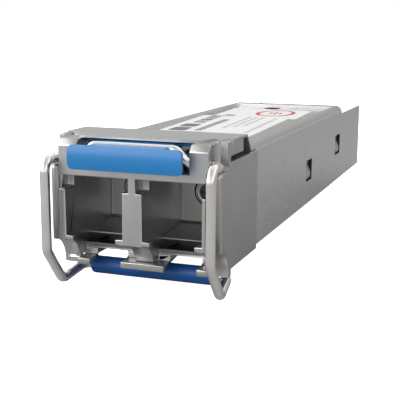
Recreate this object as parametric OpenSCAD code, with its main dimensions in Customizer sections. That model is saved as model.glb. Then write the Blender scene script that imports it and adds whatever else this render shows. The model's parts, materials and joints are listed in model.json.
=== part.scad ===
// Small form-factor optical transceiver with a duplex LC nose and a wire bail latch.
// It is drawn with its latch side up. Lengths are in millimetres.
// X runs across the module, Y runs from the nose to the edge connector and Z is up.
// Y = 0 is the shoulder between the nose and the part that slides into the cage,
// and Z = 0 is the underside of that part. Inside the modules below, Y is measured
// from the front face of the nose, and datum() moves the result to the shoulder.

/* [Overall] */
// Length of the nose, from its front face to the shoulder
nose_l = 9.3; // [9.3:0.1:9.8]
// Length of the part behind the shoulder
rear_l = 47.2; // [46.8:0.1:47.6]
// Width of the nose
nose_w = 13.7; // [13.6:0.02:13.8]
// Width of the sheet-metal cover
cover_w = 13.4; // [13.4:0.02:13.5]
// Height of the sheet-metal cover
cover_h = 8.5; // [8.5:0.02:8.6]
// Depth of the nose below the underside of the cover
nose_drop = 0.2; // [0.1:0.05:0.25]

/* [Nose] */
// Width of the front plate
plate_w = 11.96; // [11.9:0.02:12]
// Height of the front plate's top edge, where its bevel starts
plate_top = 8.84; // [8.7:0.02:8.9]
// Width of the recess that the actuator slides in
recess_w = 9; // [8.98:0.01:9.04]
// Height of the recess floor
recess_z = 7.2; // [7.2:0.02:7.36]
// Height of the casting behind the recess
casting_top = 7.9; // [7.86:0.02:7.92]
// Radius of the finger scoop under the ports
scoop_r = 2.1; // [2.05:0.01:2.15]

/* [LC ports] */
// Distance between the two fibre axes
lc_pitch = 6.25; // [6.25:0.01:6.25]
// Height of the fibre axes
lc_z = 4.45; // [4.4:0.01:4.5]
// Width of each port
port_w = 4.67; // [4.6:0.01:4.7]
// Height of the floor of each port
port_z0 = 1.95; // [1.9:0.01:2]
// Height of the ceiling of each port
port_z1 = 6.57; // [6.5:0.01:6.6]
// Depth of each port
port_d = 8; // [7.8:0.1:8.2]
// Radius of the bore that takes a fibre ferrule
ferrule_r = 0.626; // [0.625:0.001:0.63]

/* [Cover] */
// Thickness of the sheet metal
sheet_t = 0.3; // [0.28:0.01:0.32]
// Outer radius of the cover's long edges
cover_r = 0.8; // [0.6:0.05:1]
// Distance from the front face to the rear end of the cover's top
cover_end = 44.7; // [44:0.1:45]
// Depth of the pocket for the label's rear end
pocket_d = 0.38; // [0.3:0.01:0.42]
// Height of the two fins beside the edge connector
fin_h = 7.55; // [7.3:0.05:7.6]

/* [Bail and actuator] */
// Diameter of the bail wire
wire_d = 0.76; // [0.72:0.02:0.78]
// Radial running clearance of the bail in its two bores
bail_clear = 0.05; // [0.03:0.01:0.08]
// Distance from the front face back to the bail's hinge axis
hinge_y = 0.9; // [0.88:0.01:0.92]
// Height of the bail's hinge axis
hinge_z = 7.75; // [7.74:0.01:7.78]
// Height of the wire's crank above the hinge axis
crank_rise = 1.05; // [1:0.01:1.08]
// Distance of the wire's crank in front of the hinge axis
crank_lead = 0.4; // [0.36:0.01:0.44]
// Half the distance between the centre lines of the bail's legs
leg_x = 6.52; // [6.48:0.01:6.56]
// Distance of the legs in front of the front face
leg_out = 1.07; // [1.04:0.01:1.1]
// Diameter of the coloured sleeve on the bail's bar
sleeve_d = 1.42; // [1.3:0.02:1.42]
// Length of the coloured sleeve
sleeve_l = 10.6; // [10:0.1:10.8]

/* [Circuit board] */
// Height of the board's lower face
board_z = 5.25; // [5.2:0.05:5.3]
// Thickness of the board
board_t = 1; // [0.9:0.05:1.05]
// Distance from the front face to the board's rear edge
board_end = 53.3; // [53:0.1:53.6]
// Width of the edge connector
edge_w = 9.2; // [9.1:0.05:9.3]
// Distance between neighbouring contacts
contact_pitch = 0.8; // [0.8:0.01:0.8]
// Number of contacts on each face of the board
contact_n = 10; // [8:1:10]

/* [Hidden] */
$fn = 48;

// Half widths and levels that several pieces share
nose_x = nose_w / 2;
plate_x = plate_w / 2;
recess_x = recess_w / 2;
cover_x = cover_w / 2;
body_l = nose_l + rear_l;
tray_x = cover_x - sheet_t - 0.05;
tray_in = 5.7;
tray_floor = 0.9;
lc_x = lc_pitch / 2;
divider_x = lc_x - port_w / 2 + 0.01;
port_x = lc_x + port_w / 2 + 0.01;
notch_z = 5.53;
foot_z = 1.58;
slab_z = 0.3;
board_top = board_z + board_t;

// Sheet plate over the head
head_top = 9.5;
head_t = 0.17;
head_under = head_top - head_t;
head_front = hinge_y + 0.15;
head_rear = 6.41;
flange_rear = 7.67;
block_front = 2.1;
post_rear = 2.75;
post_top = head_top - 0.05;
gap_front = 2.4;
block_rear = 5.46;
block_under = 8.3;
pin_x = 6.15;
pin_y = 2.42;
pin_r = 0.2;

// Rib that the bail's sleeve snaps behind
rib_y0 = 1.7;
rib_y1 = 2.42;
rib_z0 = -0.76;
rib_z1 = -0.22;
rib_gap_x0 = 1.8;
rib_gap_x1 = 4.4;
gap_end = 3.15;

// Bail
wire_r = wire_d / 2;
bar_y = 4.1;
bar_z = -1.32;
crank_y = hinge_y - crank_lead;
crank_z = hinge_z + crank_rise;
bar_gap = 0.15;
bend_lap = 0.015;
bend_thinning = 0.004;

// Actuator
slide_gap = 0.06;
lip_y = -1.45;
lip_t = 0.42;
lip_z0 = recess_z + 0.08;
lip_z1 = 9.08;
lip_r = 0.34;
groove_y0 = crank_y - wire_r - slide_gap;
groove_y1 = crank_y + wire_r + 0.27;
hub_x = 2.95;
tongue_x = 3.05;
tongue_z0 = casting_top + 0.08;
tongue_z1 = cover_h - 0.05;
tongue_y1 = 10.2;
tine_y1 = 11.85;

// Optical subassemblies, from front to rear
barrel_y0 = 7.85;
barrel_r = 1.05;
collar_r = 1.17;
wall_t = 0.8;
sleeve_r = 0.81;
optic_y0 = 9.7;
optic_r = 0.45;
lens_t = 0.3;
stub_y1 = 10.4;
flange_y0 = 10.2;
flange_y1 = 11;
flange_r = 2.2;
can_y1 = 13.8;
can_r = 2.2;
header_y1 = 14.4;
header_r = 2.5;
lead_r = 0.22;
lead_circle_r = 1.27;
lead_y1 = 16;
flex_y = 14.75;
flex_t = 0.15;
flex_x = 1.7;
board_y0 = 17;

module datum() {
  translate([0, -nose_l, 0]) children();
}

// A box between two corners
module block(low, high) {
  translate(low) cube(high - low);
}

// The same shape on both sides of the middle plane
module both_sides() {
  children();
  mirror([1, 0, 0]) children();
}

// An outline in X and Z, drawn out along Y
module along_y(y0, y1) {
  translate([0, y1, 0]) rotate([90, 0, 0]) linear_extrude(y1 - y0) children();
}

// An outline in Y and Z, drawn out along X
module along_x(x0, x1) {
  translate([x0, 0, 0]) rotate([90, 0, 90]) linear_extrude(x1 - x0) children();
}

module rod_x(y, z, x0, x1, r) {
  translate([x0, y, z]) rotate([0, 90, 0]) cylinder(h = x1 - x0, r = r);
}

module rod_y(x, z, y0, y1, r) {
  translate([x, y1, z]) rotate([90, 0, 0]) cylinder(h = y1 - y0, r = r);
}

module rod_z(x, y, z0, z1, r) {
  translate([x, y, z0]) cylinder(h = z1 - z0, r = r);
}

// ---- Nose and tray, one die casting ----

// Front plate with its bevelled top edge
module front_plate() {
  bevel_y = 0.44;
  along_x(-plate_x, plate_x)
    polygon([[0, slab_z], [0, plate_top], [bevel_y, head_under], [block_front, head_under],
             [block_front, slab_z]]);
}

// Side walls of the nose, each with a rounded upright front edge
module nose_block() {
  edge_r = 0.35;
  edge_y = 0.6;
  block([-nose_x, edge_y, -nose_drop], [nose_x, nose_l, casting_top]);
  both_sides() {
    rod_z(nose_x - edge_r, edge_y, 1, hinge_z - wire_r - 0.4, edge_r);
    translate([nose_x - edge_r, edge_y, hinge_z - wire_r - 0.4]) sphere(r = edge_r);
    block([plate_x - 0.1, edge_y, 1], [nose_x - edge_r, edge_y + 1, casting_top]);
  }
}

// Clearance for the bail's elbow, at the hinge and above it
module elbow_clearance() {
  slot_r = wire_r + 0.08;
  slot_rear = hinge_y + 0.6;
  groove_r = 1.05;
  both_sides() {
    rod_x(slot_rear, hinge_z, plate_x + 0.3, nose_x + 1, slot_r);
    rod_x(hinge_y, hinge_z, plate_x, nose_x + 1, slot_r);
    block([plate_x + 0.3, hinge_y, hinge_z - slot_r], [nose_x + 1, slot_rear, hinge_z + slot_r]);
    block([plate_x, -1, hinge_z - slot_r], [nose_x + 1, hinge_y, head_top]);
    rod_z(nose_x + 0.15, hinge_y, hinge_z, head_top, groove_r);
  }
}

// Corner posts that carry the wall of the nose up beside the head
module corner_posts() {
  both_sides() difference() {
    block([plate_x - 0.01, hinge_y - 0.3, casting_top - 0.1], [nose_x, post_rear, post_top]);
    block([plate_x - 1, gap_front, casting_top], [nose_x + 1, post_rear + 1, block_under]);
  }
}

// One LC port: the square channel, its upper notches and the latch arm's space below
module lc_port() {
  foot_inner = 1.4;
  foot_outer = 4.88;
  foot_y = 0.6;
  notch_y = 1.5;
  ledge_y = 3.85;
  ledge_z = 1.45;
  ledge_rear_z = 1.88;
  rear_y = port_d - 0.4;
  block([divider_x, -1, port_z0], [port_x, port_d, port_z1]);
  block([0.3, -1, notch_z], [plate_x + 0.01, notch_y, port_z1]);
  block([foot_inner, -1, slab_z], [foot_outer, foot_y + 0.01, port_z0 + 0.01]);
  block([divider_x, -1, slab_z], [port_x, foot_y, foot_z]);
  along_x(divider_x, port_x)
    polygon([[foot_y, slab_z], [rear_y, slab_z], [rear_y, slab_z + 0.3], [ledge_y, ledge_z - 0.08],
             [ledge_y, ledge_z], [rear_y, ledge_rear_z], [rear_y, port_z0 + 0.1],
             [foot_y, port_z0 + 0.1]]);
}

// Round finger scoop across the nose
module scoop() {
  scoop_y = 0.2;
  scoop_z = foot_z - 0.08 - scoop_r;
  rod_x(scoop_y, scoop_z, -nose_x - 1, nose_x + 1, scoop_r);
  block([-nose_x - 1, -1, -2], [nose_x + 1, scoop_y, foot_z - 0.08]);
}

// Gaps in the floor behind the scoop, with a sloping underside behind each
module floor_gaps() {
  slope_end = 5.5;
  both_sides() {
    block([divider_x, -1, -2], [port_x, gap_end, slab_z + 0.01]);
    along_x(rib_gap_x0, rib_gap_x1)
      polygon([[gap_end - 0.01, -1], [gap_end - 0.01, slab_z], [gap_end, slab_z], [slope_end, -nose_drop],
               [slope_end, -1]]);
  }
}

// Low lips along the front edge of the floor, undercut at the front
module floor_lip() {
  lip_depth = 0.35;
  lip_h = 0.4;
  lip_edge = 0.06;
  both_sides() along_x(divider_x - 0.1, port_x + 0.1)
    polygon([[gap_end, slab_z + lip_h], [gap_end, slab_z + lip_h - lip_edge],
             [gap_end + lip_depth - lip_edge, slab_z - 0.05],
             [gap_end + lip_depth, slab_z - 0.05], [gap_end + lip_depth, slab_z + lip_h]]);
}

// Three short ribs under the front edge, with the floor steps that carry them
module latch_rib() {
  step_z0 = rib_z1 - 0.28;
  block([-rib_gap_x0, rib_y0, rib_z0], [rib_gap_x0, rib_y1, rib_z1]);
  block([-rib_gap_x0, rib_y1 - 0.1, step_z0], [rib_gap_x0, gap_end + 0.15, rib_z1]);
  block([-rib_gap_x0, gap_end, step_z0], [rib_gap_x0, gap_end + 0.15, 0]);
  both_sides() {
    block([rib_gap_x1, rib_y0, rib_z0], [port_x + 0.01, rib_y1, rib_z1]);
    block([rib_gap_x1, rib_y1 - 0.1, step_z0], [port_x + 0.01, gap_end + 0.15, rib_z1]);
    block([rib_gap_x1, gap_end, step_z0], [port_x + 0.01, gap_end + 0.15, 0]);
  }
}

// Feet of the side walls, which carry the scoop's surface down beside the ribs
module wall_feet() {
  foot_rear = 2.7;
  both_sides() block([port_x, rib_y0, rib_z0], [nose_x, foot_rear, 0]);
}

// Shallow tray under the board, with the bridge that carries the latch boss
module tray() {
  bridge_y = 15.2;
  bridge_z = 7.1;
  rim_z = board_top + 0.05;
  block([-tray_x, nose_l - 0.5, 0], [tray_x, body_l - 0.1, tray_floor]);
  block([-tray_x, nose_l - 0.5, bridge_z], [tray_x, bridge_y, casting_top]);
  both_sides() {
    block([tray_in, nose_l - 0.5, 0], [tray_x, body_l - 0.1, rim_z]);
    block([tray_in, nose_l - 0.5, 0], [tray_x, bridge_y, casting_top]);
    for (y = [19, 38])
      block([tray_in - 0.5, y, 0.5], [tray_in + 0.1, y + 4, board_z]);
    block([tray_in - 0.2, 30, 0.5], [tray_in + 0.1, 31.4, rim_z]);
    snap_lug(27.6, 29.3, 2.5, 4.1);
    snap_lug(42.1, 43.7, 3.3, 4.9);
  }
}

// Sloping lug that a window in the cover snaps over
module snap_lug(y0, y1, z0, z1) {
  lug_x = cover_x - 0.08;
  along_y(y0, y1)
    polygon([[tray_x - 0.1, z0], [lug_x, z0], [lug_x, z0 + 0.5], [tray_x - 0.1, z1]]);
}

// Boss that the cage's latch catches, with its ramp towards the rear
module latch_boss() {
  boss_x = 1.3;
  boss_y0 = 11.8;
  boss_y1 = 13.3;
  boss_flat = 0.5;
  boss_top = cover_h + 0.24;
  along_x(-boss_x, boss_x)
    polygon([[boss_y0, casting_top - 0.1], [boss_y0, boss_top], [boss_y0 + boss_flat, boss_top],
             [boss_y1, cover_h - 0.1], [boss_y1, casting_top - 0.1]]);
}

module optics_holes() {
  both_sides()
    rod_y(lc_x, lc_z, port_d - 1, nose_l + 1, collar_r + 0.01);
}

// Room behind the ports for the optical subassemblies
module optics_room() {
  block([-tray_in, port_d + wall_t, tray_floor], [tray_in, nose_l + 1, 7.1]);
}

module base_casting() {
  color("#8a8b8b") datum() difference() {
    union() {
      difference() {
        union() {
          front_plate();
          nose_block();
          corner_posts();
          wall_feet();
        }
        block([-recess_x, -1, recess_z], [recess_x, block_front + 0.01, head_top]);
        block([-4.6, block_front - 0.01, recess_z], [4.6, 4.35, head_top]);
        elbow_clearance();
        both_sides() lc_port();
        scoop();
        floor_gaps();
        optics_holes();
        optics_room();
      }
      latch_rib();
      floor_lip();
      tray();
      latch_boss();
      both_sides() block([tray_in, 8.5, 0], [nose_x, nose_l, casting_top]);
    }
    both_sides()
      rod_x(hinge_y, hinge_z, recess_x - 1, plate_x + 0.5, wire_r + bail_clear);
    both_sides()
      rod_z(pin_x, pin_y, block_under - 1, head_top, pin_r);
  }
}

// ---- Head: a cast cap with a folded sheet plate on it ----

module latch_cap() {
  rail_x0 = 4.7;
  rail_x1 = 5.92;
  color("#8f9090") datum() both_sides() {
    block([rail_x0, block_front, casting_top], [rail_x1, block_rear, head_under]);
    block([rail_x1 - 0.1, post_rear + 0.03, block_under], [nose_x, block_rear, head_under]);
  }
}

module cap_pins() {
  color("#3a3b3d") datum() both_sides()
    rod_z(pin_x, pin_y, block_under - 1, post_top - 0.2, pin_r - 0.01);
}

module cap_plate() {
  notch_x0 = 4.5;
  notch_x1 = 5.5;
  notch_y = 3;
  notch_r = 0.3;
  tongue_gap = 3.4;
  color("#a2a3a3") datum() difference() {
    along_x(-nose_x, nose_x)
      polygon([[head_front, head_under], [head_front, head_top], [head_rear, head_top],
               [flange_rear, casting_top + 0.1], [flange_rear - 0.26, casting_top + 0.1],
               [head_rear - 0.08, head_under]]);
    both_sides() {
      block([notch_x1 + notch_r, 0, head_under - 1], [nose_x + 1, notch_y, head_top + 1]);
      rod_z(notch_x1 + notch_r, notch_y - notch_r, head_under - 1, head_top + 1, notch_r);
      translate([0, 0, head_under - 1]) linear_extrude(2)
        polygon([[notch_x0, 0], [notch_x0, head_front], [notch_x1, notch_y - notch_r],
                 [nose_x + 1, notch_y - notch_r], [nose_x + 1, 0]]);
    }
    block([-tongue_gap, head_rear - 0.3, 0], [tongue_gap, flange_rear + 1, head_under - 0.01]);
    block([-tongue_gap, head_rear, 0], [tongue_gap, flange_rear + 1, head_top + 1]);
  }
}

// ---- Sheet-metal cover ----

// Channel section that is open below, with rounded upper edges
module cover_section(x, top, r) {
  translate([-x, -1]) square([2 * x, top - r + 1]);
  translate([-x + r, -1]) square([2 * (x - r), top + 1]);
  for (s = [-1, 1]) translate([s * (x - r), top - r]) circle(r = r);
}

module cover_shell(y0, y1) {
  along_y(y0, y1) difference() {
    cover_section(cover_x, cover_h, cover_r);
    cover_section(cover_x - sheet_t, cover_h - sheet_t, cover_r - sheet_t);
    translate([-10, -10]) square([20, 10]);
  }
}

module top_cover() {
  pocket_x = 5.8;
  pocket_y0 = 27.6;
  pocket_y1 = 43.2;
  hole_x = -1.05;
  hole_y = 42.1;
  hole_r = 0.95;
  lead_in = 7.95;
  latch_x = 3.3;
  latch_y = 13.45;
  color("#a6a6a5") datum() difference() {
    union() {
      cover_shell(nose_l + 0.03, body_l);
      intersection() {
        cover_shell(lead_in, nose_l + 0.1);
        block([-10, 0, casting_top + 0.05], [10, 20, 10]);
      }
      block([-pocket_x - 0.3, pocket_y0 - 0.3, cover_h - pocket_d - sheet_t],
            [pocket_x + 0.3, pocket_y1 + 0.3, cover_h - 0.1]);
    }
    block([-latch_x, 0, casting_top], [latch_x, latch_y, 10]);
    block([-pocket_x, pocket_y0, cover_h - pocket_d], [pocket_x, pocket_y1, 10]);
    block([-10, cover_end, fin_h], [10, 60, 10]);
    rod_z(hole_x, hole_y, 7, 9, hole_r);
    both_sides() {
      block([5, 27.1, 2.3], [10, 29.5, 4.4]);
      block([5, 41.2, 3.1], [10, 43.9, 5.3]);
    }
  }
}

// The label lies a little askew on the cover
module label_outline() {
  polygon([[-3.4, 11], [5.25, 11], [4.18, 39.8], [-5.07, 40.2]]);
}

// Label that bends down the step into the pocket and stops short of the latch opening
module label() {
  notch_x = 3.5;
  notch_y = 13.6;
  step_y = 27.62;
  label_t = 0.06;
  low = cover_h - pocket_d;
  color("#f4f4f2") datum() difference() {
    intersection() {
      translate([0, 0, low - 1]) linear_extrude(3) label_outline();
      union() {
        block([-10, 0, cover_h], [10, step_y + label_t, cover_h + label_t]);
        block([-10, step_y, low], [10, step_y + label_t, cover_h + label_t]);
        block([-10, step_y, low], [10, 60, low + label_t]);
      }
    }
    block([-10, 0, low], [notch_x, notch_y, 10]);
  }
}

// ---- Bail and actuator ----

function unit(v) = v / norm(v);

// Matrix whose columns are three axes and a place
function placed(a, b, c, p) = [
  [a[0], b[0], c[0], p[0]],
  [a[1], b[1], c[1], p[1]],
  [a[2], b[2], c[2], p[2]],
  [0, 0, 0, 1],
];

// Length that a bend of centre-line radius r takes from each side of a corner
function bend_cut(p, i, r) =
  r * tan(acos(max(-1, min(1, unit(p[i] - p[i - 1]) * unit(p[i + 1] - p[i])))) / 2);

function straight_start(p, r, i) =
  i == 0 ? p[0] : p[i] + unit(p[i + 1] - p[i]) * bend_cut(p, i, r[i]);

function straight_end(p, r, i) =
  i == len(p) - 2 ? p[i + 1] : p[i + 1] - unit(p[i + 1] - p[i]) * bend_cut(p, i + 1, r[i + 1]);

// The straights run a little way into the bends, where the wire is a little thinner
module wire_straight(a, b) {
  w = unit(b - a);
  u = unit(cross(w, abs(w[2]) < 0.9 ? [0, 0, 1] : [1, 0, 0]));
  multmatrix(placed(u, cross(w, u), w, a - w * bend_lap))
    cylinder(h = norm(b - a) + 2 * bend_lap, r = wire_r);
}

module wire_bend(p, i, r) {
  d_in = unit(p[i] - p[i - 1]);
  d_out = unit(p[i + 1] - p[i]);
  turn = acos(d_in * d_out);
  axis = unit(cross(d_in, d_out));
  inward = cross(axis, d_in);
  centre = p[i] - d_in * bend_cut(p, i, r) + inward * r;
  multmatrix(placed(-inward, d_in, axis, centre))
    rotate_extrude(angle = turn) translate([r, 0]) circle(r = wire_r - bend_thinning);
}

// Round wire along a list of corners, with a bend radius at each inner corner
module wire(p, r) {
  for (i = [0:len(p) - 2]) wire_straight(straight_start(p, r, i), straight_end(p, r, i));
  for (i = [1:len(p) - 2]) wire_bend(p, i, r[i]);
}

// Half of the bail, from the bar's middle to the crank's middle
bail_half = [
  [bar_gap, bar_y, bar_z],
  [6.1, bar_y, bar_z],
  [leg_x, 1.15, -1.92],
  [leg_x, -leg_out, 0.88],
  [leg_x, -leg_out, hinge_z],
  [leg_x, hinge_y, hinge_z],
  [4.35, hinge_y, hinge_z],
  [3.35, crank_y, crank_z],
];
bend_half = [0, 0.6, 0.8, 0.7, 0.9, 0.45, 0.5, 0.5];
bail_path = concat(
  bail_half,
  [for (i = [len(bail_half) - 1:-1:0]) [-bail_half[i][0], bail_half[i][1], bail_half[i][2]]]
);
bend_path = concat(bend_half, [for (i = [len(bend_half) - 1:-1:0]) bend_half[i]]);

module bail_wire() {
  color("#c9c7c4") datum() wire(bail_path, bend_path);
}

module bail_sleeve() {
  chamfer = 0.3;
  half = sleeve_l / 2;
  color("#12406f") datum() difference() {
    translate([0, bar_y, bar_z]) rotate([0, 90, 0]) rotate_extrude()
      polygon([[0, -half], [sleeve_d / 2 - chamfer, -half], [sleeve_d / 2, -half + chamfer],
               [sleeve_d / 2, half - chamfer], [sleeve_d / 2 - chamfer, half], [0, half]]);
    rod_x(bar_y, bar_z, -half - 1, half + 1, wire_r);
  }
}

// Front lip of the actuator, with rounded lower corners
module lip_outline() {
  x = recess_x - 0.05;
  translate([-x, lip_z0 + lip_r]) square([2 * x, lip_z1 - lip_z0 - 2 * lip_r]);
  translate([-x + lip_r, lip_z0]) square([2 * (x - lip_r), lip_z1 - lip_z0]);
  for (s = [-1, 1], z = [lip_z0 + lip_r, lip_z1 - lip_r])
    translate([s * (x - lip_r), z]) circle(r = lip_r);
}

module actuator() {
  hub_top = 9.2;
  heel_y0 = groove_y1 + 0.6;
  heel_y1 = 2.6;
  heel_x = 4.4;
  heel_t = 0.25;
  tine_x = 1.65;
  color("#2f86c8") datum() {
    along_y(lip_y, lip_y + lip_t) lip_outline();
    block([-hub_x, lip_y + 0.2, lip_z0], [hub_x, groove_y0, lip_z1]);
    block([-hub_x, groove_y0 - 0.1, lip_z0], [hub_x, heel_y1, lip_z0 + 0.28]);
    block([-hub_x, groove_y1, lip_z0], [hub_x, heel_y1, hub_top]);
    block([-heel_x, heel_y0, hub_top - heel_t], [heel_x, heel_y1, hub_top]);
    block([-tongue_x, heel_y1 - 0.1, tongue_z0], [tongue_x, tongue_y1, tongue_z1]);
    both_sides() along_x(tine_x, tongue_x)
      polygon([[tongue_y1 - 0.1, tongue_z0], [tongue_y1 - 0.1, tongue_z1],
               [tine_y1 - 0.4, tongue_z1], [tine_y1, tongue_z0]]);
  }
}

// ---- Transmitter and receiver ----

// Stepped metal barrel with its flange, on one side of the module
module optics_barrel(x) {
  rod_y(x, lc_z, barrel_y0, flange_y0 + 0.1, barrel_r);
  rod_y(x, lc_z, flange_y0, flange_y1, flange_r);
}

module collar_at(x) {
  color("#161719") datum() difference() {
    rod_y(x, lc_z, barrel_y0 + 0.1, port_d + wall_t, collar_r);
    rod_y(x, lc_z, barrel_y0, port_d + wall_t + 1, barrel_r + 0.01);
  }
}

module can_at(x) {
  color("#b9b7b0") datum() rod_y(x, lc_z, flange_y1, can_y1, can_r);
}

module header_at(x) {
  color("#c8a55a") datum() rod_y(x, lc_z, can_y1, header_y1, header_r);
}

module leads_at(x) {
  color("#cdb063") datum()
    for (a = [45:90:315])
      rod_y(x + lead_circle_r * cos(a), lc_z + lead_circle_r * sin(a), header_y1, lead_y1, lead_r);
}

// Flexible circuit from the header's leads up to the board
module flex_at(x) {
  z0 = lc_z - 1.9;
  bend = 0.5;
  end_y = board_y0 + 1.9;
  top = board_top + flex_t;
  color("#c07a2c") datum() difference() {
    along_x(x - flex_x, x + flex_x) {
      translate([flex_y, z0]) square([flex_t, top - bend - z0]);
      translate([flex_y + bend, top - flex_t]) square([end_y - flex_y - bend, flex_t]);
      intersection() {
        translate([flex_y + bend, top - bend]) difference() {
          circle(r = bend);
          circle(r = bend - flex_t);
        }
        translate([flex_y, top - bend]) square([bend, bend]);
      }
    }
    for (a = [45:90:315])
      rod_y(x + lead_circle_r * cos(a), lc_z + lead_circle_r * sin(a), flex_y - 1, flex_y + 1, lead_r + 0.02);
  }
}

module tosa_barrel() {
  color("#c4c6c8") datum() difference() {
    optics_barrel(-lc_x);
    rod_y(-lc_x, lc_z, barrel_y0 - 1, optic_y0, sleeve_r);
    rod_y(-lc_x, lc_z, optic_y0 - 0.1, stub_y1, optic_r);
  }
}

module tosa_split_sleeve() {
  slot = 0.12;
  color("#f1efe8") datum() difference() {
    rod_y(-lc_x, lc_z, barrel_y0 + 0.25, optic_y0, sleeve_r);
    rod_y(-lc_x, lc_z, barrel_y0, optic_y0 + 1, ferrule_r);
    block([-lc_x - slot / 2, barrel_y0, lc_z], [-lc_x + slot / 2, optic_y0 + 1, lc_z + 2]);
  }
}

module tosa_fibre_stub() {
  color("#f7f6f2") datum() rod_y(-lc_x, lc_z, optic_y0, stub_y1, optic_r);
}

module tosa_collar() {
  collar_at(-lc_x);
}

module tosa_can() {
  can_at(-lc_x);
}

module tosa_header() {
  header_at(-lc_x);
}

module tosa_leads() {
  leads_at(-lc_x);
}

module tosa_flex() {
  flex_at(-lc_x);
}

module rosa_barrel() {
  color("#c4c6c8") datum() difference() {
    optics_barrel(lc_x);
    rod_y(lc_x, lc_z, barrel_y0 - 1, optic_y0, ferrule_r);
    rod_y(lc_x, lc_z, optic_y0 - 0.1, optic_y0 + lens_t, optic_r);
  }
}

module rosa_lens() {
  color("#dfe6ea") datum() rod_y(lc_x, lc_z, optic_y0, optic_y0 + lens_t, optic_r);
}

module rosa_collar() {
  collar_at(lc_x);
}

module rosa_can() {
  can_at(lc_x);
}

module rosa_header() {
  header_at(lc_x);
}

module rosa_leads() {
  leads_at(lc_x);
}

module rosa_flex() {
  flex_at(lc_x);
}

// Moulded clip that presses both flanges against the rear of the nose
module optics_retainer() {
  saddle_y0 = flange_y1 + 0.1;
  saddle_y1 = saddle_y0 + 1.6;
  color("#26282b") datum() difference() {
    block([-tray_in + 0.05, saddle_y0, tray_floor], [tray_in - 0.05, saddle_y1, lc_z]);
    both_sides() rod_y(lc_x, lc_z, saddle_y0 - 1, saddle_y1 + 1, can_r + 0.02);
  }
}

// ---- Circuit board and what it carries ----

module circuit_board() {
  wide_end = 44.6;
  wide_x = tray_in - 0.1;
  notch_x = tray_in - 0.3;
  color("#1f6b3c") datum() difference() {
    union() {
      block([-wide_x, board_y0, board_z], [wide_x, wide_end, board_top]);
      block([-edge_w / 2, wide_end - 0.1, board_z], [edge_w / 2, board_end, board_top]);
    }
    both_sides() block([notch_x, 29.9, 0], [10, 31.5, 10]);
  }
}

module contact_row(z0) {
  contact_w = 0.54;
  contact_t = 0.04;
  for (i = [0:contact_n - 1]) {
    x = (i - (contact_n - 1) / 2) * contact_pitch;
    shift = i % 3 == 0 ? 0.4 : 0;
    block([x - contact_w / 2, board_end - 3.3 - shift, z0],
          [x + contact_w / 2, board_end - 0.3, z0 + contact_t]);
  }
}

module upper_contacts() {
  color("#d8b04a") datum() contact_row(board_top);
}

module lower_contacts() {
  color("#d8b04a") datum() contact_row(board_z - 0.04);
}

// Flat package on the board's upper face, with rows of side terminals
module chip(x, y, w, l, h) {
  block([x - w / 2, y - l / 2, board_top], [x + w / 2, y + l / 2, board_top + h]);
}

module laser_driver() {
  color("#202225") datum() chip(-3.1, 22, 4, 4, 0.85);
}

module receiver_amplifier() {
  color("#202225") datum() chip(3.1, 21.6, 3, 3, 0.85);
}

module controller() {
  color("#232528") datum() chip(-1.6, 33, 5, 5, 0.9);
}

module memory_chip() {
  color("#1d1f22") datum() chip(3.4, 32, 3, 2, 0.75);
}

module crystal() {
  color("#c9cacb") datum() chip(3.2, 36.2, 2.5, 2, 0.7);
}

module capacitors() {
  color("#b08a5c") datum() {
    for (i = [0:5]) chip(-4.6 + 1.7 * i, 26.2, 0.8, 1.2, 0.6);
    for (i = [0:3]) chip(-3.9 + 2.6 * i, 40.6, 1.2, 0.8, 0.6);
    for (i = [0:3]) chip(-3.2 + 2.1 * i, 45.8, 0.6, 1, 0.45);
  }
}

module resistors() {
  color("#2c2d30") datum() {
    for (i = [0:6]) chip(-4.5 + 1.5 * i, 28.4, 0.5, 1, 0.35);
    for (i = [0:5]) chip(-4 + 1.6 * i, 42.6, 0.5, 1, 0.35);
  }
}

module inductors() {
  color("#4b4d52") datum() for (x = [-3.6, 0, 3.6]) chip(x, 38.4, 2, 1.6, 0.9);
}

module thermal_pad() {
  color("#8fa3b5") datum()
    block([-4.6, 20.5, board_top + 0.85], [-1.6, 23.5, cover_h - sheet_t - 0.02]);
}

base_casting();
latch_cap();
cap_plate();
cap_pins();
top_cover();
label();
bail_wire();
bail_sleeve();
actuator();
tosa_barrel();
tosa_split_sleeve();
tosa_fibre_stub();
tosa_collar();
tosa_can();
tosa_header();
tosa_leads();
rosa_barrel();
rosa_lens();
rosa_collar();
rosa_can();
rosa_header();
rosa_leads();
optics_retainer();
tosa_flex();
rosa_flex();
circuit_board();
upper_contacts();
lower_contacts();
laser_driver();
receiver_amplifier();
controller();
memory_chip();
crystal();
capacitors();
resistors();
inductors();
thermal_pad();
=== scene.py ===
import json
import math

import bmesh
import bpy
from mathutils import Matrix, Vector


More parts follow.
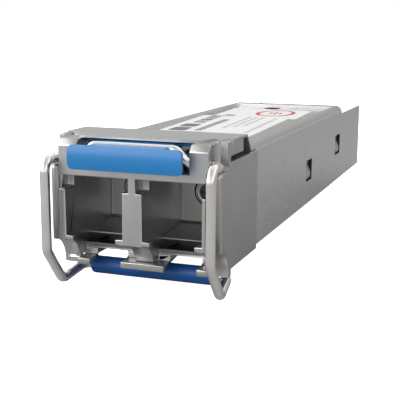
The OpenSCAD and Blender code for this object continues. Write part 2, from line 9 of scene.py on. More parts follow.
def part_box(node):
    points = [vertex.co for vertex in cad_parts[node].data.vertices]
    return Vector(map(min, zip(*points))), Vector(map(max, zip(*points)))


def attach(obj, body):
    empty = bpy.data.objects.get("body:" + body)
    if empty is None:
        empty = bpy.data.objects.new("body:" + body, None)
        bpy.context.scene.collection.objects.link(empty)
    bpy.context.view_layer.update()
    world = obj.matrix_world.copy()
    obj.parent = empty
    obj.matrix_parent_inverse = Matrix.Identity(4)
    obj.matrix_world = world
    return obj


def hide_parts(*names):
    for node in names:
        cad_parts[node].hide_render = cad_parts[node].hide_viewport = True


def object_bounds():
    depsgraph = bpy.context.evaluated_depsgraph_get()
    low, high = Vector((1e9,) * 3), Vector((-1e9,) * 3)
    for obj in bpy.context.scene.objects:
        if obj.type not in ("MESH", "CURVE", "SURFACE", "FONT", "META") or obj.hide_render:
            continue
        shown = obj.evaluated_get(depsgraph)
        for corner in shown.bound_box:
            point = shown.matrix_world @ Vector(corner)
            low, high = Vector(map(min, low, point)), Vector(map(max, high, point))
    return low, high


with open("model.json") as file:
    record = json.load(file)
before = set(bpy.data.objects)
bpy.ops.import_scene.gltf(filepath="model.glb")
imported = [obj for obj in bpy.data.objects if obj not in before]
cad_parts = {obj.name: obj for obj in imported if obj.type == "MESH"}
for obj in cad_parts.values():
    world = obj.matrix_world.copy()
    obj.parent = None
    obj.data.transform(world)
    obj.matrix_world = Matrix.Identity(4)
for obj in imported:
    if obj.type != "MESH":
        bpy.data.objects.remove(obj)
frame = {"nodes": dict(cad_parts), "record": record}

cad_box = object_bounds()
scene = bpy.context.scene
scene.view_settings.view_transform = "Standard"

MM = 0.001
NOSE_L = 9.3    # from the nose's front face to the row frame's origin, in mm
BODY_OF = {n: b for b, members in frame["record"]["behaviour"]["bodies"].items() for n in members}


def at(x, y, z):
    """A point in the row frame, in metres, from millimetres with Y measured from the nose's front face."""
    return Vector((x, y - NOSE_L, z)) * MM


# ---- Materials ----

BROAD_SCALE = 0.45                  # slow changes of tone, per mm
SPECKLE = 0.6                       # share of the mottle that the fine grain has
WEAR_REACH = 0.12                   # how far wear reaches from an edge, in mm
WEAR_SCALE, WEAR_LEAST = 2.6, 0.35  # patches along a worn edge, and how worn the least of them is
WEAR_SHINE = 0.15                   # how much smoother a worn edge is
EDGE_DOT, FLAT_DOT = 0.86, 0.99     # cosine between the bevelled and the true normal at an edge and on a flat
COAT_ROUGH = 0.15
MIX_A, MIX_B, MIX_RESULT = 6, 7, 2  # the colour sockets of a Mix node


class Nodes:
    """Small helper that adds shader nodes to a tree and links them."""

    def __init__(self, tree):
        self.tree = tree

    def node(self, kind, links=(), **values):
        n = self.tree.nodes.new(kind)
        for key, value in values.items():
            setattr(n, key, value)
        for socket, value in links:
            if isinstance(value, bpy.types.NodeSocket):
                self.tree.links.new(value, n.inputs[socket])
            else:
                n.inputs[socket].default_value = value
        return n

    def remap(self, value, low, high, from_low=0.3, from_high=0.7):
        """A value moved to another range. Noise mostly stays between 0.3 and 0.7."""
        n = self.node("ShaderNodeMapRange", [("Value", value), ("From Min", from_low),
                                             ("From Max", from_high), ("To Min", low), ("To Max", high)])
        return n.outputs[0]

    def tint(self, factor, a, b):
        """Colour a where the factor is 0 and colour b where it is 1."""
        n = self.node("ShaderNodeMix", [("Factor", factor)], data_type="RGBA")
        for socket, colour in ((MIX_A, a), (MIX_B, b)):
            if isinstance(colour, bpy.types.NodeSocket):
                self.tree.links.new(colour, n.inputs[socket])
            else:
                n.inputs[socket].default_value = (*colour, 1)
        return n.outputs[MIX_RESULT]


class Graph(Nodes):
    """The nodes of a new material."""

    def __init__(self, name):
        self.material = bpy.data.materials.new(name)
        self.material.use_nodes = True
        super().__init__(self.material.node_tree)
        self.shader = self.tree.nodes["Principled BSDF"]

    def link(self, source, target):
        self.tree.links.new(source, self.shader.inputs[target])

    def set(self, target, value):
        self.shader.inputs[target].default_value = value

    def place(self, stretch=(1, 1, 1)):
        """Coordinates in millimetres that ride with the piece, stretched along an axis for brushed metal."""
        coords = self.node("ShaderNodeTexCoord")
        scale = [s / MM for s in stretch]
        mapping = self.node("ShaderNodeMapping", [("Vector", coords.outputs["Object"]), ("Scale", scale)])
        return mapping.outputs[0]

    def noise(self, place, scale, detail=3.0):
        n = self.node("ShaderNodeTexNoise", [("Vector", place), ("Scale", scale), ("Detail", detail),
                                             ("Roughness", 0.55)])
        return n.outputs["Fac"]

    def maths(self, operation, a, b):
        return self.node("ShaderNodeMath", [(0, a), (1, b)], operation=operation).outputs[0]

    def edges(self, radius):
        """1 on convex and concave edges, 0 on flats."""
        bevel = self.node("ShaderNodeBevel", [("Radius", radius * MM)], samples=4)
        flat = self.node("ShaderNodeNewGeometry")
        dot = self.node("ShaderNodeVectorMath", [(0, bevel.outputs[0]), (1, flat.outputs["Normal"])],
                        operation="DOT_PRODUCT")
        return self.remap(dot.outputs["Value"], 1, 0, EDGE_DOT, FLAT_DOT)


def shade(tone, k):
    """A tone made k times as bright."""
    return tuple(min(1, c * k) for c in tone)


def make_material(name, tone, metallic=0.0, rough=0.5, spread=0.06, grain=8.0, bump=0.1, bump_mm=0.01,
                  mottle=0.06, stretch=(1, 1, 1), wear=0.0, wear_tone=None, coat=0.0, sheen=0.0,
                  transmission=0.0):
    """Procedural finish: fine grain, mottle, bump, and wear along the edges. Grain is per mm."""
    g = Graph(name)
    place = g.place(stretch)
    fine = g.noise(place, grain)
    broad = g.noise(g.place(), BROAD_SCALE, 4.0)
    colour = g.tint(g.remap(broad, 0, 1), shade(tone, 1 - mottle), shade(tone, 1 + mottle))
    speckle = g.remap(fine, 1 - mottle * SPECKLE, 1 + mottle * SPECKLE)
    colour = g.node("ShaderNodeVectorMath", [(0, colour), ("Scale", speckle)], operation="SCALE").outputs[0]
    roughness = g.remap(fine, rough - spread, rough + spread)
    if wear:
        patch = g.remap(g.noise(g.place(), WEAR_SCALE, 5.0), WEAR_LEAST, 1)
        mask = g.maths("MULTIPLY", g.maths("MULTIPLY", g.edges(WEAR_REACH), patch), wear)
        colour = g.tint(mask, colour, wear_tone)
        roughness = g.maths("SUBTRACT", roughness, g.maths("MULTIPLY", mask, WEAR_SHINE))
    g.link(colour, "Base Color")
    g.link(roughness, "Roughness")
    bumps = g.node("ShaderNodeBump", [("Strength", bump), ("Distance", bump_mm * MM), ("Height", fine)])
    g.link(bumps.outputs[0], "Normal")
    g.set("Metallic", metallic)
    g.set("Coat Weight", coat)
    g.set("Coat Roughness", COAT_ROUGH)
    g.set("Sheen Weight", sheen)
    g.set("Transmission Weight", transmission)
    return g.material


# After its name, a material takes: tone, metallic, rough, spread of rough, grain, bump, bump_mm, mottle.
BRUSHED = (0.25, 6, 6)
ALONG_Y = (7, 0.3, 7)
CAST = make_material("cast_metal", (0.52, 0.52, 0.515), 1.0, 0.36, 0.07, 9, 0.35, 0.012, 0.05, wear=0.3,
                     wear_tone=(0.66, 0.655, 0.65))
HEAD = make_material("head_plate", (0.6, 0.6, 0.593), 1.0, 0.36, 0.05, 3, 0.12, 0.006, 0.03, BRUSHED, 0.12,
                     (0.66, 0.66, 0.65))
SHEET = make_material("cover_sheet", (0.7, 0.7, 0.694), 1.0, 0.28, 0.04, 3, 0.05, 0.004, 0.02, ALONG_Y, 0.15,
                      (0.66, 0.66, 0.65))
PIN = make_material("pin", (0.03, 0.03, 0.032), 0.6, 0.5)
WIRE = make_material("wire", (0.95, 0.915, 0.89), 1.0, 0.2, 0.05, 5, 0.08, 0.005, 0.03)
SLEEVE = make_material("sleeve", (0.006, 0.09, 0.33), 0, 0.42, 0.05, 7, 0.2, 0.01, 0.06, wear=0.2,
                       wear_tone=(0.08, 0.3, 0.6))
BLUE = make_material("actuator", (0.014, 0.21, 0.54), 0, 0.34, 0.05, 7, 0.14, 0.008, 0.04, wear=0.35,
                     wear_tone=(0.05, 0.34, 0.66), coat=0.15)
TURNED = make_material("turned_steel", (0.52, 0.52, 0.52), 0.9, 0.3, 0.05, 6, 0.1, 0.006, 0.04)
CERAMIC = make_material("ceramic", (0.85, 0.84, 0.8), 0, 0.2, 0.04, 4, 0.03, 0.004, 0.02, coat=0.4)
# This black is the collars' and the retainer's own colour, and it is also painted shade on the cover's cut
# edges.
BLACK = make_material("black_plastic", (0.015, 0.015, 0.017), 0, 0.5, 0.08, 8, 0.2, 0.01, 0.2)
CAN = make_material("can_steel", (0.48, 0.47, 0.44), 0.95, 0.32, 0.05, 5, 0.1, 0.006, 0.05)
GOLD = make_material("gold", (0.83, 0.6, 0.22), 1.0, 0.24, 0.06, 6, 0.1, 0.005, 0.06)
GLASS = make_material("glass", (0.7, 0.8, 0.86), 0, 0.06, 0.02, 3, 0.02, 0.002, 0.02, coat=0.5,
                      transmission=0.6)
POLYIMIDE = make_material("polyimide", (0.5, 0.22, 0.05), 0, 0.36, 0.06, 5, 0.1, 0.006, 0.08)
LABEL = make_material("label", (0.93, 0.93, 0.925), 0, 0.42, 0.06, 6, 0.08, 0.005, 0.015)
INK = make_material("ink", (0.16, 0.16, 0.17), 0, 0.5, 0.06, 9, 0.08, 0.004, 0.15)
GREY = make_material("grey_ink", (0.52, 0.52, 0.53), 0, 0.5, 0.06, 9, 0.08, 0.004, 0.1)
RED = make_material("red_ink", (0.6, 0.03, 0.05), 0, 0.5, 0.06, 9, 0.08, 0.004, 0.1)
BOARD = make_material("board", (0.018, 0.13, 0.055), 0, 0.32, 0.06, 4, 0.12, 0.008, 0.12, coat=0.4)
LAMINATE = make_material("laminate", (0.36, 0.33, 0.17), 0, 0.7, 0.05, 12, 0.3, 0.01, 0.15, (1, 1, 5))
CHIP = make_material("chip", (0.022, 0.022, 0.025), 0, 0.5, 0.08, 12, 0.25, 0.008, 0.15)
LID = make_material("lid", (0.55, 0.55, 0.56), 0.95, 0.3, 0.05, 4, 0.1, 0.006, 0.04, (0.3, 5, 5))
TAN = make_material("capacitor", (0.4, 0.27, 0.14), 0, 0.5, 0.06, 12, 0.15, 0.006, 0.1)
FERRITE = make_material("ferrite", (0.08, 0.08, 0.09), 0, 0.65, 0.06, 12, 0.3, 0.01, 0.15)
PAD = make_material("gap_pad", (0.28, 0.36, 0.44), 0, 0.75, 0.05, 6, 0.3, 0.02, 0.06, sheen=0.2)


# ---- Building pieces ----

BEVEL_LENGTH, BEVEL_SPAN = 1.2, 1.5   # bevel widths that an edge, and each face beside it, must measure
BEVEL_ANGLE = math.radians(28)
NO_LENGTH = 1e-7


def publish(bm, name, body, materials, replaced=(), sharp=38):
    """Turns a bmesh into a smooth piece that rides on a body, with its edges over some angle kept sharp."""
    bmesh.ops.recalc_face_normals(bm, faces=bm.faces)
    mesh = bpy.data.meshes.new(name)
    bm.to_mesh(mesh)
    bm.free()
    piece = bpy.data.objects.new(name, mesh)
    scene.collection.objects.link(piece)
    for m in materials:
        mesh.materials.append(m)
    mesh.polygons.foreach_set("use_smooth", [True] * len(mesh.polygons))
    mesh.set_sharp_from_angle(angle=math.radians(sharp))
    weighted = piece.modifiers.new("weighted", "WEIGHTED_NORMAL")
    weighted.keep_sharp = True
    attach(piece, body)
    if replaced:
        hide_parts(*replaced)


def soften(bm, width, segments):
    """Rounds every sharp edge that has room for it, then removes the edges without length that this leaves."""
    w = width * MM
    chosen = []
    for e in bm.edges:
        if len(e.link_faces) != 2 or e.calc_length() < BEVEL_LENGTH * w:
            continue
        if e.calc_face_angle(0) < BEVEL_ANGLE:
            continue
        if min(f.calc_area() for f in e.link_faces) < BEVEL_SPAN * w * e.calc_length():
            continue
        chosen.append(e)
    bmesh.ops.bevel(bm, geom=chosen, offset=w, offset_type="OFFSET", segments=segments, profile=0.5,
                    affect="EDGES", clamp_overlap=False)
    bmesh.ops.dissolve_degenerate(bm, dist=NO_LENGTH, edges=bm.edges)


def cad_mesh(node):
    """A clean copy of a CAD node's mesh, with flat faces in one piece."""
    bm = bmesh.new()
    bm.from_mesh(frame["nodes"][node].data)
    bmesh.ops.remove_doubles(bm, verts=bm.verts, dist=1e-6)
    bmesh.ops.dissolve_limit(bm, angle_limit=math.radians(0.6), verts=bm.verts, edges=bm.edges)
    return bm


def dress(node, material, width=0.05, segments=2, before=None, extra=(), paint=None):
    """A detailed copy of a CAD node with rounded edges, which stands for it."""
    bm = cad_mesh(node)
    if before:
        before(bm)
    soften(bm, width, segments)
    if paint:
        paint(bm)
    publish(bm, node + "_piece", BODY_OF[node], [material, *extra], [node])


def turns(steps):
    """Angles of one full turn, in radians."""
    return [2 * math.pi * i / steps for i in range(steps)]


def skin(bm, rings):
    """Faces between each ring of points and the next."""
    for p, q in zip(rings, rings[1:]):
        for i in range(len(p)):
            j = (i + 1) % len(p)
            bm.faces.new((p[i], p[j], q[j], q[i]))


def lathe(bm, profile, to_world, steps):
    """Closed profile of (radius, along) pairs turned about an axis."""
    rings = [[bm.verts.new(to_world(r * math.cos(a), r * math.sin(a), along)) for a in turns(steps)]
             for r, along in profile]
    skin(bm, rings + rings[:1])


def along_y_at(x0, z0):
    """Where lathe puts its points for an axis along Y."""
    return lambda u, v, along: at(x0 + u, along, z0 + v)


def along_x_at(y0, z0):
    """Where lathe puts its points for an axis along X."""
    return lambda u, v, along: at(along, y0 + u, z0 + v)


def arc(cx, cy, r, a0, a1, steps):
    """Points on an arc, in degrees."""
    angles = [math.radians(a0 + (a1 - a0) * i / steps) for i in range(steps + 1)]
    return [(cx + r * math.cos(a), cy + r * math.sin(a)) for a in angles]


def cut(bm, place, normal):
    """Divides the faces of a bmesh along a plane."""
    bmesh.ops.bisect_plane(bm, geom=bm.verts[:] + bm.edges[:] + bm.faces[:], plane_co=place, plane_no=normal)


def sheet(bm, outline, cuts, thickness, shape):
    """Flat outline in X and Y with a thickness, cut across at some Y and moved by shape(x, y, depth)."""
    bm.faces.new([bm.verts.new((x, y, 0)) for x, y in outline])
    for y in cuts:
        cut(bm, (0, y, 0), (0, 1, 0))
    lower = bmesh.ops.duplicate(bm, geom=bm.faces[:])["geom"]
    lower = [f for f in lower if isinstance(f, bmesh.types.BMFace)]
    for v in {v for f in lower for v in f.verts}:
        v.co.z = -thickness
    rims = [e for e in bm.edges if len(e.link_faces) == 1]
    bmesh.ops.bridge_loops(bm, edges=rims)
    for v in bm.verts:
        v.co = shape(v.co.x, v.co.y, -v.co.z)


# ---- Bail ----

WIRE_R, WIRE_STEPS = 0.38, 24
BAR_Y, BAR_Z = 4.1, -1.32      # the bar that carries the sleeve
LEG_X, LEG_Y = 6.52, -1.07     # the upright part of each leg
AXLE_Y, AXLE_Z = 0.9, 7.75     # the part that turns in the nose
BEND_STEPS = 10
SLEEVE_HALF, SLEEVE_R, SLEEVE_BORE, SLEEVE_ROUND = 5.3, 0.71, 0.385, 0.28


def bail_path():
    """Centre line of the wire, from a list of corners and the radius of each bend."""
    half = [((0.15, BAR_Y, BAR_Z), 0), ((6.1, BAR_Y, BAR_Z), 0.6), ((LEG_X, 1.15, -1.92), 0.8),
            ((LEG_X, LEG_Y, 0.88), 0.7), ((LEG_X, LEG_Y, AXLE_Z), 0.9), ((LEG_X, AXLE_Y, AXLE_Z), 0.45),
            ((4.35, AXLE_Y, AXLE_Z), 0.5), ((3.35, 0.5, 8.8), 0.5)]
    corners = half + [((-p[0], p[1], p[2]), r) for p, r in reversed(half)]
    points = [Vector(p) for p, _ in corners]
    line = [points[0]]
    for i in range(1, len(points) - 1):
        before = (points[i] - points[i - 1]).normalized()
        after = (points[i + 1] - points[i]).normalized()
        turn = before.angle(after)
        r = corners[i][1]
        inward = (after - before).normalized()
        centre = points[i] + inward * (r / math.cos(turn / 2))
        start = points[i] - before * (r * math.tan(turn / 2)) - centre
        axis = before.cross(after).normalized()
        line += [centre + Matrix.Rotation(turn * k / BEND_STEPS, 3, axis) @ start
                 for k in range(BEND_STEPS + 1)]
    line.append(points[-1])
    return line


def tube(bm, line, r, steps):
    """Round wire along a line, with flat ends."""
    last = len(line) - 1
    tangents = [(line[min(i + 1, last)] - line[max(i - 1, 0)]).normalized() for i in range(last + 1)]
    side = tangents[0].orthogonal().normalized()
    rings = []
    for i, (p, t) in enumerate(zip(line, tangents)):
        side = (side - side.dot(t) * t).normalized()
        other = t.cross(side)
        rings.append([bm.verts.new(at(*(p + r * (math.cos(a) * side + math.sin(a) * other))))
                      for a in turns(steps)])
    skin(bm, rings)
    bm.faces.new(rings[0])
    bm.faces.new(rings[-1])


bm = bmesh.new()
tube(bm, bail_path(), WIRE_R, WIRE_STEPS)
publish(bm, "bail_wire_piece", "bail", [WIRE], ["bail_wire"], 60)

bm = bmesh.new()
profile = [(SLEEVE_BORE, SLEEVE_HALF)]
profile += [(SLEEVE_R - SLEEVE_ROUND + SLEEVE_ROUND * math.sin(math.radians(a)),
             SLEEVE_HALF - SLEEVE_ROUND + SLEEVE_ROUND * math.cos(math.radians(a))) for a in range(0, 91, 15)]
profile += [(r, -along) for r, along in reversed(profile)]
lathe(bm, profile, along_x_at(BAR_Y, BAR_Z), 48)
publish(bm, "bail_sleeve_piece", "bail", [SLEEVE], ["bail_sleeve"], 50)

# ---- Actuator ----

LIP_TOP, CROWN = 9.08, 0.16    # top of the lip, and how far its front face bows
LIP_STRIPS = 10


def crown_lip(bm):
    """Bows the front face of the lip, so that its upper and lower edges lie a little further back."""
    low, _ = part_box("actuator")
    front, top, bottom = low[1], LIP_TOP * MM, low[2]
    for k in range(1, LIP_STRIPS):
        cut(bm, (0, 0, bottom + (top - bottom) * k / LIP_STRIPS), (0, 0, 1))
    middle, half = (top + bottom) / 2, (top - bottom) / 2
    for v in bm.verts:
        if v.co.y < front + 0.02 * MM:
            v.co.y += CROWN * MM * ((v.co.z - middle) / half) ** 2


dress("actuator", BLUE, 0.16, 3, before=crown_lip)


# ---- Casting ----

dress("base_casting", CAST, 0.09, 3)
dress("latch_cap", CAST, 0.1)
dress("cap_pins", PIN, 0.04)

# ---- Plate over the head ----

PLATE_TOP, PLATE_T = 9.5, 0.17
PLATE_REAR = 6.35                        # the plate's rear edge between its two flanges
BEND_R, BEND_A = 0.4, math.radians(50)   # the fold at the start of each flange
FOLD_START = 6.41 - BEND_R * math.tan(BEND_A / 2)
FOLD_STEPS = 6


def plate_outline():
    """The plate laid flat: its right half, from the middle of the front edge to the rear, and its mirror."""
    front, notch, side, rear, gap = 1.05, 3.0, 6.85, 8.36, 3.4
    right = [(0, front), (4.3, front)]
    right += arc(4.3, front + 0.75, 0.75, -90, -28, 6)[1:]
    right += arc(5.85, 2.55, 0.45, 160, 90, 6)
    right += [(side - 0.12, notch), (side, notch + 0.12)]
    right += [(side, rear - 0.3)] + arc(side - 0.3, rear - 0.3, 0.3, 15, 90, 4)
    right += arc(gap + 0.2, rear - 0.2, 0.2, 90, 180, 4)
    right += arc(gap - 0.25, PLATE_REAR + 0.25, 0.25, 0, -90, 4)
    right += [(0, PLATE_REAR)]
    return right + [(-x, y) for x, y in reversed(right[1:-1])]


def plate_shape(x, y, depth):
    """Folds the rear flanges down."""
    s = max(0, y - FOLD_START)
    turn = min(s / BEND_R, BEND_A)
    rest = s - turn * BEND_R
    yy = min(y, FOLD_START) + (BEND_R - depth) * math.sin(turn) + rest * math.cos(BEND_A)
    zz = PLATE_TOP - BEND_R + (BEND_R - depth) * math.cos(turn) - rest * math.sin(BEND_A)
    return at(x, yy, zz)


bm = bmesh.new()
folds = [FOLD_START + BEND_R * BEND_A * k / FOLD_STEPS for k in range(FOLD_STEPS + 1)]
sheet(bm, plate_outline(), folds, PLATE_T, plate_shape)
publish(bm, "cap_plate_piece", "root", [HEAD], ["cap_plate"], 50)

# ---- Cover, label and its marks ----

HOLE_X, HOLE_Y, HOLE_R = -1.05, 42.1, 0.95
WINDOWS = ((27.1, 29.5, 2.3, 4.4), (41.2, 43.9, 3.1, 5.3))   # each from y to y and from z to z
EDGE_REACH = 0.08
COVER_SKIN_Z = 7      # above this is the cover's upper wall


def paint_shade_on_cut_edges(bm):
    """Painted shade: the walls of the round opening behind the label and of the side windows get the black
    material, standing for the shade inside these cut edges.
    """
    for f in bm.faces:
        c = f.calc_center_median() / MM
        y, z = c.y + NOSE_L, c.z
        in_hole = z > COVER_SKIN_Z and math.hypot(c.x - HOLE_X, y - HOLE_Y) < HOLE_R + EDGE_REACH
        in_window = any(y0 - EDGE_REACH < y < y1 + EDGE_REACH and z0 - EDGE_REACH < z < z1 + EDGE_REACH
                        for y0, y1, z0, z1 in WINDOWS)
        if in_hole and abs(f.normal.z) < 0.9 or in_window and abs(f.normal.x) < 0.9:
            f.material_index = 1


# The black on the cover's cut edges is painted shade.
dress("top_cover", SHEET, 0.07, extra=[BLACK], paint=paint_shade_on_cut_edges)

COVER_TOP, POCKET_D = 8.5, 0.38
STEP_Y, STEP_L, STEP_CUT_COUNT = 27.62, 0.35, 8    # the step down into the pocket
LABEL_T, LABEL_LIFT = 0.055, 0.06
NOTCH_X, NOTCH_Y = 3.5, 13.6
SKEW = 0.047          # sideways drift of the label for each mm along it
LABEL_CORNERS = [(NOTCH_X, 11.0), (5.25, 11.0), (4.18, 39.8), (-5.07, 40.2), (-3.55, NOTCH_Y),
                 (NOTCH_X, NOTCH_Y)]
MARK_T = 0.012


def label_height(y):
    """Height of the label's upper face: level with the cover, then down into the pocket."""
    k = min(1, max(0, (y - STEP_Y) / STEP_L))
    return COVER_TOP + LABEL_LIFT - POCKET_D * k * k * (3 - 2 * k)


def rounded(corners, r, steps=5):
    """Outline through some corners, each one rounded."""
    line = []
    for i, corner in enumerate(corners):
        p = Vector(corner)
        a, b = (Vector(corners[j]) - p for j in (i - 1, (i + 1) % len(corners)))
        start, end = (p + d.normalized() * min(r, 0.45 * d.length) for d in (a, b))
        for k in range(steps + 1):
            t = k / steps
            q = (1 - t) ** 2 * start + 2 * t * (1 - t) * p + t * t * end
            line.append((q.x, q.y))
    return line


def label_shape(lift):
    """How sheet lays something on the label."""
    return lambda x, y, depth: at(x, y, label_height(y) + lift - depth)


def askew(x, y):
    """A place turned with the label, which lies at a small angle on the cover."""
    return x - SKEW * (y - NOTCH_Y), y


STEP_CUTS = [STEP_Y + STEP_L * k / STEP_CUT_COUNT for k in range(STEP_CUT_COUNT + 1)]
bm = bmesh.new()
sheet(bm, rounded(LABEL_CORNERS, 0.4), STEP_CUTS, LABEL_T, label_shape(0))
publish(bm, "label_piece", "root", [LABEL], ["label"], 50)


def mark(marks, x0, y0, x1, y1, r):
    """One printed block."""
    part = bmesh.new()
    corners = [askew(x, y) for x, y in ((x0, y0), (x1, y0), (x1, y1), (x0, y1))]
    sheet(part, rounded(corners, r, 2), [c for c in STEP_CUTS if y0 < c < y1], MARK_T,
          label_shape(MARK_T * 0.9))
    mesh = bpy.data.meshes.new("part")
    part.to_mesh(mesh)
    part.free()
    marks.from_mesh(mesh)
    bpy.data.meshes.remove(mesh)


def mark_row(marks, x0, x1, y0, y1, lengths, gap):
    """Row of printed blocks along the label, which stands for a line of print."""
    y, k = y0, 0
    while y + lengths[k % len(lengths)] <= y1:
        length = lengths[k % len(lengths)]
        mark(marks, x0, y, x1, y + length, min(length, x1 - x0) * 0.25)
        y += length + gap
        k += 1


marks = bmesh.new()
mark_row(marks, -2.9, -1.3, 14.0, 19.8, (2.6, 2.4), 0.5)
mark_row(marks, -2.7, -1.5, 20.6, 33.4, (0.9, 0.5, 1.2, 0.7), 0.45)
mark_row(marks, -0.6, 0.1, 14.6, 24.6, (0.5, 0.3, 0.6), 0.25)
publish(marks, "label_marks", "root", [INK], sharp=50)

marks = bmesh.new()
for x, y0, y1 in ((1.2, 17.2, 28.6), (1.9, 18.4, 31.0), (2.6, 19.6, 30.2)):
    mark_row(marks, x, x + 0.32, y0, y1, (0.35, 0.55, 0.25), 0.22)
mark_row(marks, 4.0, 4.4, 14.4, 27.2, (0.4, 0.6, 0.3), 0.3)
publish(marks, "label_small_marks", "root", [GREY], sharp=50)

OVAL_X, OVAL_Y = 1.03, 35.9
OVAL_A, OVAL_B, OVAL_W, OVAL_T = 2.09, 3.3, 0.42, 0.011    # half axes, width of the line and its thickness


def oval_edge(bm, inset, lift):
    """One edge of the printed oval."""
    return [bm.verts.new(at(OVAL_X + (OVAL_A - inset) * math.cos(a), OVAL_Y + (OVAL_B - inset) * math.sin(a),
                            label_height(OVAL_Y) + lift)) for a in turns(72)]


bm = bmesh.new()
rings = [oval_edge(bm, *where) for where in ((0, OVAL_T), (OVAL_W, OVAL_T), (OVAL_W, 0), (0, 0))]
skin(bm, rings + rings[:1])
publish(bm, "label_oval", "root", [RED], sharp=30)

marks = bmesh.new()
lean = SKEW * (OVAL_Y - NOTCH_Y)    # undoes askew, so that the bars stand in the middle of the oval
for shift, reach in ((-0.55, 0.7), (0, 1.2), (0.55, 0.7)):
    x = OVAL_X + lean + shift
    mark(marks, x - 0.12, OVAL_Y - reach, x + 0.12, OVAL_Y + reach, 0.06)
publish(marks, "label_oval_bars", "root", [RED], sharp=50)

# ---- Optics ----

LC_X, LC_Z = 3.125, 4.45       # the axis of each port
LIGHT_R = 0.45                 # the light path at the back of each barrel
BORE_END = 9.7
FERRULE_R = 0.626
TURN_STEPS = 72


def barrel(name, x, bore, node):
    """Turned barrel: stepped bore, ringed front end and a flange at the back."""
    bm = bmesh.new()
    profile = [(LIGHT_R, 11), (LIGHT_R, BORE_END), (bore, BORE_END), (bore, 7.97), (bore + 0.1, 7.87),
               (0.84, 7.85), (0.86, 7.9), (0.9, 7.9), (0.92, 7.85), (1.0, 7.85), (1.05, 7.9), (1.05, 10.2),
               (2.14, 10.2), (2.2, 10.26), (2.2, 10.94), (2.14, 11)]
    lathe(bm, profile, along_y_at(x, LC_Z), TURN_STEPS)
    publish(bm, name, "root", [TURNED], [node], 30)


barrel("tosa_barrel_piece", -LC_X, 0.72, "tosa_barrel")
barrel("rosa_barrel_piece", LC_X, FERRULE_R, "rosa_barrel")
bm = bmesh.new()
lathe(bm, [(FERRULE_R, BORE_END), (FERRULE_R, 8.16), (0.66, 8.1), (0.7, 8.1), (0.72, 8.13), (0.72, BORE_END)],
      along_y_at(-LC_X, LC_Z), TURN_STEPS)
publish(bm, "tosa_sleeve_piece", "root", [CERAMIC], ["tosa_split_sleeve"], 30)
dress("tosa_fibre_stub", CERAMIC, 0.05)
dress("rosa_lens", GLASS, 0.05)
for side in ("tosa", "rosa"):
    dress(side + "_collar", BLACK, 0.03)
    dress(side + "_can", CAN, 0.15, 3)
    dress(side + "_header", GOLD, 0.08)
    dress(side + "_leads", GOLD, 0.03)
    dress(side + "_flex", POLYIMIDE, 0.03)
dress("optics_retainer", BLACK, 0.12)


# ---- Board ----

def paint_edges(bm):
    """Bare laminate on the board's upright faces."""
    for f in bm.faces:
        if abs(f.normal.z) < 0.5:
            f.material_index = 1


dress("circuit_board", BOARD, 0.06, extra=[LAMINATE], paint=paint_edges)
for side in ("upper", "lower"):
    dress(side + "_contacts", GOLD, 0.015, 1)
for chip in ("laser_driver", "receiver_amplifier", "controller", "memory_chip"):
    dress(chip, CHIP, 0.06)
dress("crystal", LID, 0.15, 3)
dress("inductors", FERRITE, 0.12, 3)
dress("thermal_pad", PAD, 0.15, 3)
dress("capacitors", TAN, 0.05)
dress("resistors", CHIP, 0.04)


# ---- Studio ----

CAMERA_AT = (0.02597, -0.06557, 0.01747)
CAMERA_FORWARD, CAMERA_RIGHT = (-0.33740, 0.92060, -0.19660), (0.93892, 0.34411, 0.0)
CAMERA_ROLL = math.radians(0.26)
CAMERA_LENS = 77.634
KEY = (-0.15, -0.45, 0.88)     # the direction that the sky's bands of light are measured from
SKY = ((0.0, 0.2), (0.17, 0.82), (0.32, 0.4), (0.44, 0.38), (0.62, 1.22), (0.82, 0.8), (1.0, 0.5))
FLOOR_GREY, FLOOR_PALE = (0.42, 0.42, 0.42), (0.9, 0.9, 0.9)    # as the object sees it, as the camera does
FLOOR_GAP = 0.0003
WHITE = (1, 1, 1)


def photo_camera():
    """Camera at the photograph's viewing angle, with a small roll."""
    forward = Vector(CAMERA_FORWARD).normalized()
    right = Vector(CAMERA_RIGHT)
    right = (right - right.dot(forward) * forward).normalized()
    up = right.cross(forward)
    level = math.cos(CAMERA_ROLL) * right + math.sin(CAMERA_ROLL) * up
    upright = -math.sin(CAMERA_ROLL) * right + math.cos(CAMERA_ROLL) * up
    data = bpy.data.cameras.new("camera")
    data.lens = CAMERA_LENS
    data.sensor_width = 36
    data.clip_start = 0.005
    camera = bpy.data.objects.new("camera", data)
    scene.collection.objects.link(camera)
    pose = Matrix((level, upright, -forward)).transposed().to_4x4()
    pose.translation = Vector(CAMERA_AT)
    camera.matrix_world = pose
    scene.camera = camera


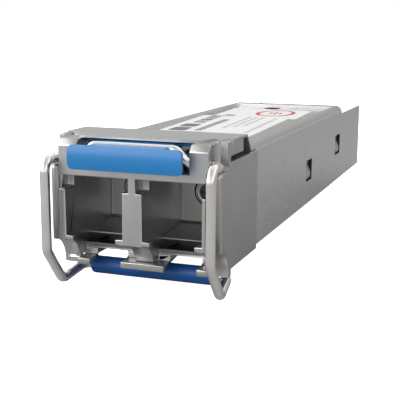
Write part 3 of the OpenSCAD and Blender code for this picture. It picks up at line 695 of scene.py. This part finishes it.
def softbox(name, place, aim, size, power):
    """Square area light that points at a place."""
    data = bpy.data.lights.new(name, "AREA")
    data.shape = "RECTANGLE"
    data.size = data.size_y = size
    data.energy = power
    lamp = bpy.data.objects.new(name, data)
    scene.collection.objects.link(lamp)
    lamp.location = place
    lamp.rotation_euler = (Vector(aim) - Vector(place)).to_track_quat("-Z", "Y").to_euler()


def is_camera_ray(g):
    return g.node("ShaderNodeLightPath").outputs["Is Camera Ray"]


def sky():
    """White to the camera, and soft bands of grey light to the object."""
    world = bpy.data.worlds.new("studio")
    scene.world = world
    world.use_nodes = True
    g = Nodes(world.node_tree)
    coords = g.node("ShaderNodeTexCoord")
    facing = g.node("ShaderNodeVectorMath", [(0, coords.outputs["Generated"]), (1, Vector(KEY).normalized())],
                    operation="DOT_PRODUCT")
    ramp = g.node("ShaderNodeValToRGB", [(0, g.remap(facing.outputs["Value"], 0, 1, -1, 1))])
    for i, (where, level) in enumerate(SKY):
        stop = ramp.color_ramp.elements[i] if i < 2 else ramp.color_ramp.elements.new(where)
        stop.position = where
        stop.color = (level, level, level, 1)
    background = g.tree.nodes["Background"]
    g.tree.links.new(g.tint(is_camera_ray(g), ramp.outputs[0], WHITE), background.inputs["Color"])
    background.inputs["Strength"].default_value = 1.0


def pale_floor():
    """Floor that is evenly white to the camera, with no shadow, and grey to the object."""
    bm = bmesh.new()
    bmesh.ops.create_grid(bm, x_segments=1, y_segments=1, size=2)
    mesh = bpy.data.meshes.new("floor")
    bm.to_mesh(mesh)
    bm.free()
    floor = bpy.data.objects.new("floor", mesh)
    floor.location.z = cad_box[0][2] - FLOOR_GAP
    scene.collection.objects.link(floor)
    g = Graph("pale_floor")
    g.set("Roughness", 0.9)
    g.set("Specular IOR Level", 0.0)
    g.set("Emission Color", (*WHITE, 1))
    seen = is_camera_ray(g)
    g.link(g.tint(seen, FLOOR_GREY, FLOOR_PALE), "Base Color")
    g.link(seen, "Emission Strength")
    mesh.materials.append(g.material)


photo_camera()
sky()
pale_floor()
softbox("left_light", (-0.32, -0.12, 0.24), (0, 0.01, 0), 0.35, 0.55)
softbox("front_light", (-0.25, -0.35, 0.2), (0, 0, 0.004), 0.3, 0.8)

bpy.context.view_layer.update()
